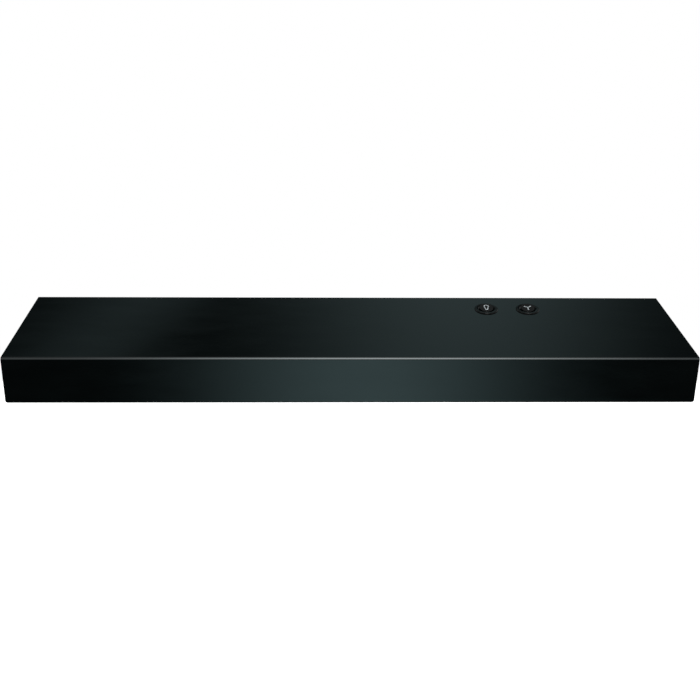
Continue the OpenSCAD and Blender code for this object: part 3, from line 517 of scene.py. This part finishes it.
def spun(outline, steps=96):
    """Spins an outline of (radius, height) points about the Z axis into a closed ring or disc."""
    bpy.ops.mesh.primitive_plane_add(size=0.001)
    piece = bpy.context.object
    only(piece)
    bpy.ops.object.mode_set(mode="EDIT")
    bpy.ops.mesh.select_all(action="SELECT")
    bpy.ops.mesh.delete(type="ONLY_FACE")
    bpy.ops.object.mode_set(mode="OBJECT")
    points = [Vector((r, 0, z)) for r, z in outline]
    for vertex, point in zip(piece.data.vertices, (points[0], points[1], points[1], points[0])):
        vertex.co = point
    weld(piece)
    here = points[1]
    for point in points[2:]:
        only(piece)
        mesh = piece.data
        mesh.edges.foreach_set("select", [False] * len(mesh.edges))
        mesh.polygons.foreach_set("select", [False] * len(mesh.polygons))
        for vertex in mesh.vertices:
            vertex.select = (vertex.co - here).length < 1e-7
        bpy.ops.object.mode_set(mode="EDIT")
        bpy.ops.mesh.select_mode(type="VERT")
        bpy.ops.mesh.extrude_region_move(TRANSFORM_OT_translate={"value": tuple(point - here)})
        bpy.ops.object.mode_set(mode="OBJECT")
        here = point
    only(piece)
    bpy.ops.object.mode_set(mode="EDIT")
    bpy.ops.mesh.select_all(action="SELECT")
    bpy.ops.mesh.spin(steps=steps, angle=2 * math.pi, center=(0, 0, 0), axis=(0, 0, 1))
    bpy.ops.object.mode_set(mode="OBJECT")
    return weld(piece)


def onto_visor(piece, place):
    """Stands a piece made about the Z axis square on the visor at a button's place."""
    piece.rotation_euler = (visor_angle, 0, 0)
    piece.location = place
    return settle(piece)


# a fine mould texture, which takes the gloss off and leaves the plastic a deep flat black
moulded_abs, tree, shader = new_finish("black_moulded_abs", IOR=1.53, Specular_IOR_Level=0.16)
uneven(tree, shader, "#020303", "#040505", 0.01, shine=(0.2, 0.3), peel=(0.0006, 0.000003))
sleeve_r = bezel_r - 0.0015
lip_r, lip_foot = 0.0009, 0.0005
lip_top = lip_foot + lip_r
dish, dish_depth = 0.004, 0.0015
mouth, mouth_top, mouth_foot = 0.0004, 0.0001, -0.0003
ring = [(bore, -stem), (sleeve_r, -stem), (sleeve_r, 0), (bezel_r, 0)]
for k in range(7):
    turn = math.radians(15 * k)
    ring.append((bezel_r - lip_r + lip_r * math.cos(turn), lip_foot + lip_r * math.sin(turn)))
for k in range(1, 6):
    turn = math.radians(15 * k)
    ring.append((bezel_r - lip_r - dish * math.sin(turn), lip_top - dish_depth * (1 - math.cos(turn))))
ring += [(bore + mouth, mouth_top), (bore, mouth_foot), (bore, -stem)]
for name, place in button_places.items():
    bezel = onto_visor(spun(ring), place)
    smooth(bezel, 30)
    show(bezel, name + "_ring", moulded_abs, "hood", name + "_bezel", slot="black_plastic")


# Button caps: moulded black ABS plugs whose faces lean towards the cook, with a softened rim. The
# lamp and fan marks are pad printed on them in pale grey.
cap_h = 0.0025
cap_tilt = math.radians(12)
plug_middle, plug_l = -0.003, 0.014
stalk_middle, stalk_r, stalk_l = -0.0125, 0.0022, 0.007
rim_softness = 0.0005
reach = 0.02
for name, place in button_places.items():
    cap = rod((0, 0, plug_middle), cap_r, plug_l, sides=96)
    slope = block((-reach, -reach, 0), (reach, reach, reach))
    slope.rotation_euler = (cap_tilt, 0, 0)
    slope.location = (0, 0, cap_h)
    cut_away(cap, settle(slope))
    modify(
        cap, "BEVEL", width=rim_softness, segments=4, limit_method="ANGLE", angle_limit=math.radians(50)
    )
    stalk = rod((0, 0, stalk_middle), stalk_r, stalk_l, sides=24)
    cap = onto_visor(join(cap, stalk), place)
    smooth(cap, 40)
    show(cap, name + "_plug", moulded_abs, name, name + "_cap", slot="black_plastic")
# a thin matt ink, a little uneven where the pad lifted off
print_ink, tree, shader = new_finish("pale_printing_ink", IOR=1.5)
uneven(tree, shader, "#7d8486", "#91989a", 0.002, shine=(0.5, 0.6))
refinish(print_ink, "light_symbol", "fan_symbol")


# Lamp lenses: shallow trays moulded from polycarbonate, with fine ribs and a frosted outer face. Each
# swings on two small pins in lugs at its rear edge.

# The frosting hides the lamp and softens its light, and the ribs show as fine shaded lines. They are
# drawn 4 mm apart, coarse enough to show. At scale 1 a band takes pi / 10.
lens_white, tree, shader = new_finish("frosted_polycarbonate", IOR=1.585, Transmission_Weight=0.35)
place = add_node(tree, "ShaderNodeTexCoord").outputs["Object"]
rib_pitch = 0.004
ribs = add_node(
    tree, "ShaderNodeTexWave", {"wave_type": "BANDS", "bands_direction": "X"},
    {"Vector": place, "Scale": math.pi / (10 * rib_pitch)},
)
uneven(tree, shader, "#e6e4da", "#f2f0e8", 0.02, shine=(0.32, 0.42))
relief = add_node(tree, "ShaderNodeBump", inputs={"Height": ribs, "Distance": 0.0004})
tree.links.new(relief.outputs["Normal"], shader.inputs["Normal"])
pin_reach = 0.0058
lens_depth, lens_height = 0.052, 0.007
lens_corner, lens_wall, lens_hollow = 0.004, 0.0016, 0.005
lens_softness = 0.0004
hinge_back, hinge_up = 0.002, 0.0055
lug_r, lug_l, lug_inset = 0.0028, 0.011, 0.006
pin_r, pin_l, pin_offset = 0.0015, 0.0084, 0.0016
web_back, web_down, web_up = 0.0044, 0.0027, 0.0005
for side in ("left", "right"):
    low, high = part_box(side + "_lens")
    width_low, width_high = low.x + pin_reach, high.x - pin_reach
    tray = block((width_low, low.y, low.z), (width_high, low.y + lens_depth, low.z + lens_height))
    pick(tray, "EDGE", lambda a, b: abs(a.z - b.z) > lens_height / 2)
    bpy.ops.mesh.bevel(offset=lens_corner, segments=6, affect="EDGES", clamp_overlap=False)
    pick(tray, "FACE", lambda centre, normal: normal.z > 0.9)
    bpy.ops.mesh.inset(thickness=lens_wall)
    bpy.ops.mesh.extrude_region_move(TRANSFORM_OT_translate={"value": (0, 0, -lens_hollow)})
    bpy.ops.object.mode_set(mode="OBJECT")
    round_edges(tray, lens_softness, 3)
    hinge_y = low.y + lens_depth + hinge_back
    hinge_z = low.z + hinge_up
    parts = [tray]
    for x, outward in ((width_low, -1), (width_high, 1)):
        inner = x - outward * lug_inset
        parts.append(rod((inner, hinge_y, hinge_z), lug_r, lug_l, "X", 24))
        parts.append(rod((x + outward * pin_offset, hinge_y, hinge_z), pin_r, pin_l, "X", 24))
        parts.append(block(
            (inner - lug_l / 2, hinge_y - web_back, hinge_z - web_down),
            (inner + lug_l / 2, hinge_y, hinge_z + web_up),
        ))
    lens = join(*parts)
    smooth(lens, 40)
    show(lens, side + "_ribbed_lens", lens_white, side + "_lamp_lens", side + "_lens", slot="frosted_lens")


# Filter rims: channel folded from aluminium strip and mitred at the corners, with two turned pins at
# the rear that the filter swings on. The strip is as it leaves the mill, with a dull metal sheen and
# soft streaks left by the rolls.
mill_aluminium, tree, shader = new_finish("mill_finish_aluminium", Metallic=1.0)
uneven(tree, shader, "#a9acae", "#c0c3c5", 0.004, (0.1, 1, 1), (0.26, 0.42), (0.0005, 0.000004))
rail = 0.010
pin_stand = 0.004
strip = Vector((0.001, 0.001, 0.001))
score_l, score_w = 0.02, 0.00015
score_below, score_depth = 0.0005, 0.0003
rim_edge = 0.0003
pin_r, pin_l, pin_back, pin_offset = 0.0025, 0.005, 0.005, 0.0015
for side in ("left", "right"):
    low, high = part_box(side + "_filter_frame")
    low, high = low + Vector((pin_stand, 0, 0)), high - Vector((pin_stand, 0, 0))
    middle = (low + high) / 2
    size = high - low
    bpy.ops.mesh.primitive_plane_add(size=1, location=(middle.x, middle.y, low.z))
    rim = bpy.context.object
    rim.scale = (size.x, size.y, 1)
    settle(rim)
    pick(rim, "FACE", lambda centre, normal: True)
    bpy.ops.mesh.inset(thickness=rail)
    bpy.ops.mesh.delete(type="FACE")
    pick(rim, "FACE", lambda centre, normal: True)
    bpy.ops.mesh.extrude_region_move(TRANSFORM_OT_translate={"value": (0, 0, size.z)})
    weld(rim)
    cut_away(rim, block(low + strip, high - strip))
    for corner_x, lean_x in ((low.x, 1), (high.x, -1)):
        for corner_y, lean_y in ((low.y, 1), (high.y, -1)):
            scored = block((-score_l, -score_w, -score_below), (score_l, score_w, score_depth))
            scored.rotation_euler = (0, 0, math.atan2(lean_y, lean_x))
            scored.location = (corner_x, corner_y, low.z)
            cut_away(rim, settle(scored))
    round_edges(rim, rim_edge)
    pins = [
        rod((x, high.y - pin_back, middle.z), pin_r, pin_l, "X", 32)
        for x in (low.x - pin_offset, high.x + pin_offset)
    ]
    rim = join(rim, *pins)
    smooth(rim, 30)
    show(
        rim, side + "_filter_rim", mill_aluminium, side + "_filter", side + "_filter_frame",
        slot="filter_aluminium",
    )


# Filter packs: two layers of expanded aluminium, slit and stretched into diamonds, a fine one below a
# coarse one. The rim holds them, and the fine layer has a window for the finger cup. The strands are
# bright but uneven, so the metal looks patchy.
strand_aluminium, tree, shader = new_finish("expanded_aluminium", Metallic=1.0)
uneven(tree, shader, "#9fa3a6", "#c9cccf", 0.006, (1, 1, 1), (0.22, 0.4))


def diamond_sheet(low, high, cell_x, cell_y, strand, thickness):
    """One sheet of diamonds between two corners: a diamond ring, repeated along both ways."""
    columns = int((high.x - low.x) / cell_x)
    rows = int((high.y - low.y) / cell_y)
    cell = Vector(((high.x - low.x) / columns, (high.y - low.y) / rows))
    bpy.ops.mesh.primitive_circle_add(
        vertices=4, radius=0.5, fill_type="NGON", location=(low.x + cell.x / 2, low.y + cell.y / 2, low.z)
    )
    layer = bpy.context.object
    layer.scale = (cell.x, cell.y, 1)
    settle(layer)
    pick(layer, "FACE", lambda centre, normal: True)
    bpy.ops.mesh.inset(thickness=strand)
    bpy.ops.mesh.delete(type="FACE")
    bpy.ops.object.mode_set(mode="OBJECT")
    modify(layer, "SOLIDIFY", thickness=thickness, offset=1)
    for count, step in ((columns, (cell.x, 0, 0)), (rows, (0, cell.y, 0))):
        modify(
            layer, "ARRAY", count=count, use_relative_offset=False, use_constant_offset=True,
            constant_offset_displace=step,
        )
    return layer


fine_cell = {"cell_x": 0.0066, "cell_y": 0.0033, "strand": 0.00045, "thickness": 0.0004}
coarse_cell = {"cell_x": 0.0135, "cell_y": 0.0066, "strand": 0.0012, "thickness": 0.0005}
fine_lift, coarse_lift = 0.0002, 0.0036
window_x, window_y = 0.004, 0.002
for side in ("left", "right"):
    low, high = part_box(side + "_filter_mesh")
    cup_low, cup_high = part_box(side + "_filter_pull")
    lower = diamond_sheet(low + Vector((0, 0, fine_lift)), high, **fine_cell)
    pick(lower, "FACE", lambda centre, normal: (
        cup_low.x - window_x < centre.x < cup_high.x + window_x
        and cup_low.y - window_y < centre.y < cup_high.y + window_y
    ))
    bpy.ops.mesh.select_linked()
    bpy.ops.mesh.delete(type="FACE")
    bpy.ops.object.mode_set(mode="OBJECT")
    upper = diamond_sheet(low + Vector((0, 0, coarse_lift)), high, **coarse_cell)
    pack = join(lower, upper)
    show(
        pack, side + "_filter_pack", strand_aluminium, side + "_filter", side + "_filter_mesh",
        slot="filter_aluminium",
    )
refinish(mill_aluminium, "left_filter_pull", "right_filter_pull")


# Lamp reflectors: folded from bright anodised aluminium sheet, with an end wall at each side, and set
# over the openings in the lamp tray. The polished sheet mirrors the lamp softly.
bright_aluminium, tree, shader = new_finish("bright_anodised_aluminium", Metallic=1.0)
uneven(tree, shader, "#d2d5d8", "#e2e5e7", 0.03, (1, 1, 1), (0.12, 0.2))
refinish(bright_aluminium, "left_reflector", "right_reflector")


# Lamp holders and lamps: porcelain sockets with a glossy glaze, opal glass bulbs that look milky and
# smooth, and rolled brass screw caps.
porcelain, tree, shader = new_finish("glazed_porcelain", IOR=1.52, Coat_Weight=0.5, Coat_Roughness=0.1)
uneven(tree, shader, "#e4dfd2", "#efebe0", 0.02, shine=(0.25, 0.35))
refinish(porcelain, "left_socket", "right_socket")
opal_glass, tree, shader = new_finish("opal_glass", IOR=1.5, Transmission_Weight=0.15)
uneven(tree, shader, "#ece9de", "#f6f4ec", 0.02, shine=(0.16, 0.24))
refinish(opal_glass, "left_bulb", "right_bulb")
brass, tree, shader = new_finish("rolled_brass", Metallic=1.0)
uneven(tree, shader, "#b08d4a", "#cfae6a", 0.004, shine=(0.25, 0.4))
refinish(brass, "left_bulb_cap", "right_bulb_cap")


# Blower housing, collar, flap and brackets: cut and folded from hot-dip galvanised steel sheet, whose
# zinc sets in pale and dark crystals a few millimetres across.
galvanised, tree, shader = new_finish("galvanised_steel", Metallic=1.0)
place = add_node(tree, "ShaderNodeTexCoord").outputs["Object"]
spangle_size = 0.007
spangle = add_node(
    tree, "ShaderNodeTexVoronoi", {"feature": "F1"}, {"Vector": place, "Scale": 1 / spangle_size}
)
shade = add_node(tree, "ShaderNodeSeparateColor", inputs={"Color": spangle.outputs["Color"]})
zinc = add_node(
    tree, "ShaderNodeMix", {"data_type": "RGBA"},
    {"Factor": shade, "A": to_linear("#8b9094"), "B": to_linear("#b1b6b9")},
)
tree.links.new(zinc.outputs["Result"], shader.inputs["Base Color"])
dull = add_node(
    tree, "ShaderNodeMapRange", inputs={"Value": shade.outputs["Green"], "To Min": 0.32, "To Max": 0.52}
)
tree.links.new(dull.outputs[0], shader.inputs["Roughness"])
refinish(
    galvanised, "blower_scroll", "left_blower_end", "right_blower_end", "blower_feet", "motor_cradle",
    "duct_collar", "damper_flap", "filter_pivot_brackets", "switch_bracket",
)


# Motor, wheels and shaft: a motor in dark stoving paint on a ground steel shaft, with a moulded
# glass-filled wheel at each end, and a white run capacitor beside it. The paint is satin, the wheels
# are matt, the ground steel has fine streaks along it and the capacitor's case has a waxy sheen.
motor_paint, tree, shader = new_finish("dark_stoving_paint", IOR=1.5)
uneven(tree, shader, "#3c4043", "#4a4f52", 0.02, shine=(0.4, 0.55), peel=(0.0015, 0.00002))
refinish(motor_paint, "blower_motor")
glass_nylon, tree, shader = new_finish("glass_filled_nylon", IOR=1.53)
uneven(tree, shader, "#1b1d1e", "#26292a", 0.006, shine=(0.45, 0.6), peel=(0.0008, 0.00001))
refinish(glass_nylon, "left_blower_wheel", "right_blower_wheel")
ground_steel, tree, shader = new_finish("ground_steel", Metallic=1.0)
uneven(tree, shader, "#9da1a4", "#b4b8ba", 0.003, (0.2, 1, 1), (0.2, 0.34))
refinish(ground_steel, "motor_shaft", "damper_pin", "filter_spring_clips")
white_pp, tree, shader = new_finish("white_polypropylene", IOR=1.49)
uneven(tree, shader, "#d5d5cf", "#e2e2dc", 0.01, shine=(0.35, 0.48))
refinish(white_pp, "motor_capacitor")


# Switches, seal, grommets and wiring: moulded switch blocks, a rubber seal round the inside of the
# collar, rubber rings where wires pass through sheet, PVC insulated wires and twist-on connectors. The
# rubber is dull and pitted, the mouldings satin and the insulation slightly glossy.
switch_pbt, tree, shader = new_finish("moulded_pbt", IOR=1.55)
uneven(tree, shader, "#191c1e", "#232729", 0.004, shine=(0.4, 0.55))
refinish(switch_pbt, "light_switch", "fan_switch")
rubber, tree, shader = new_finish("black_rubber", IOR=1.52)
uneven(tree, shader, "#121212", "#1c1c1c", 0.003, shine=(0.6, 0.8), peel=(0.0008, 0.00004))
refinish(rubber, "damper_seal", "wire_grommets")
black_pvc, tree, shader = new_finish("black_pvc_insulation", IOR=1.53)
uneven(tree, shader, "#16181a", "#202325", 0.006, shine=(0.35, 0.5))
refinish(black_pvc, "switch_wires", "motor_wires", "lamp_wires", "supply_leads")
green_pvc, tree, shader = new_finish("green_pvc_insulation", IOR=1.53)
uneven(tree, shader, "#24763c", "#308a4a", 0.006, shine=(0.35, 0.5))
refinish(green_pvc, "earth_lead")
orange_shell, tree, shader = new_finish("orange_polypropylene", IOR=1.49)
uneven(tree, shader, "#cf7a22", "#dd8b33", 0.004, shine=(0.4, 0.5))
refinish(orange_shell, "wire_nuts")


# Screws: cross-recessed pan heads of steel in bright zinc plate, which is smooth and bluish white, and
# one dyed green for earth.
zinc_plate, tree, shader = new_finish("bright_zinc_plate", Metallic=1.0)
uneven(tree, shader, "#a7abad", "#bcc0c2", 0.003, shine=(0.24, 0.36))
refinish(zinc_plate, "tray_screws", "blower_screws", "collar_screws", "box_screw")
green_zinc, tree, shader = new_finish("green_dyed_zinc", Metallic=1.0)
uneven(tree, shader, "#347d4a", "#439058", 0.003, shine=(0.26, 0.38))
refinish(green_zinc, "ground_screw")
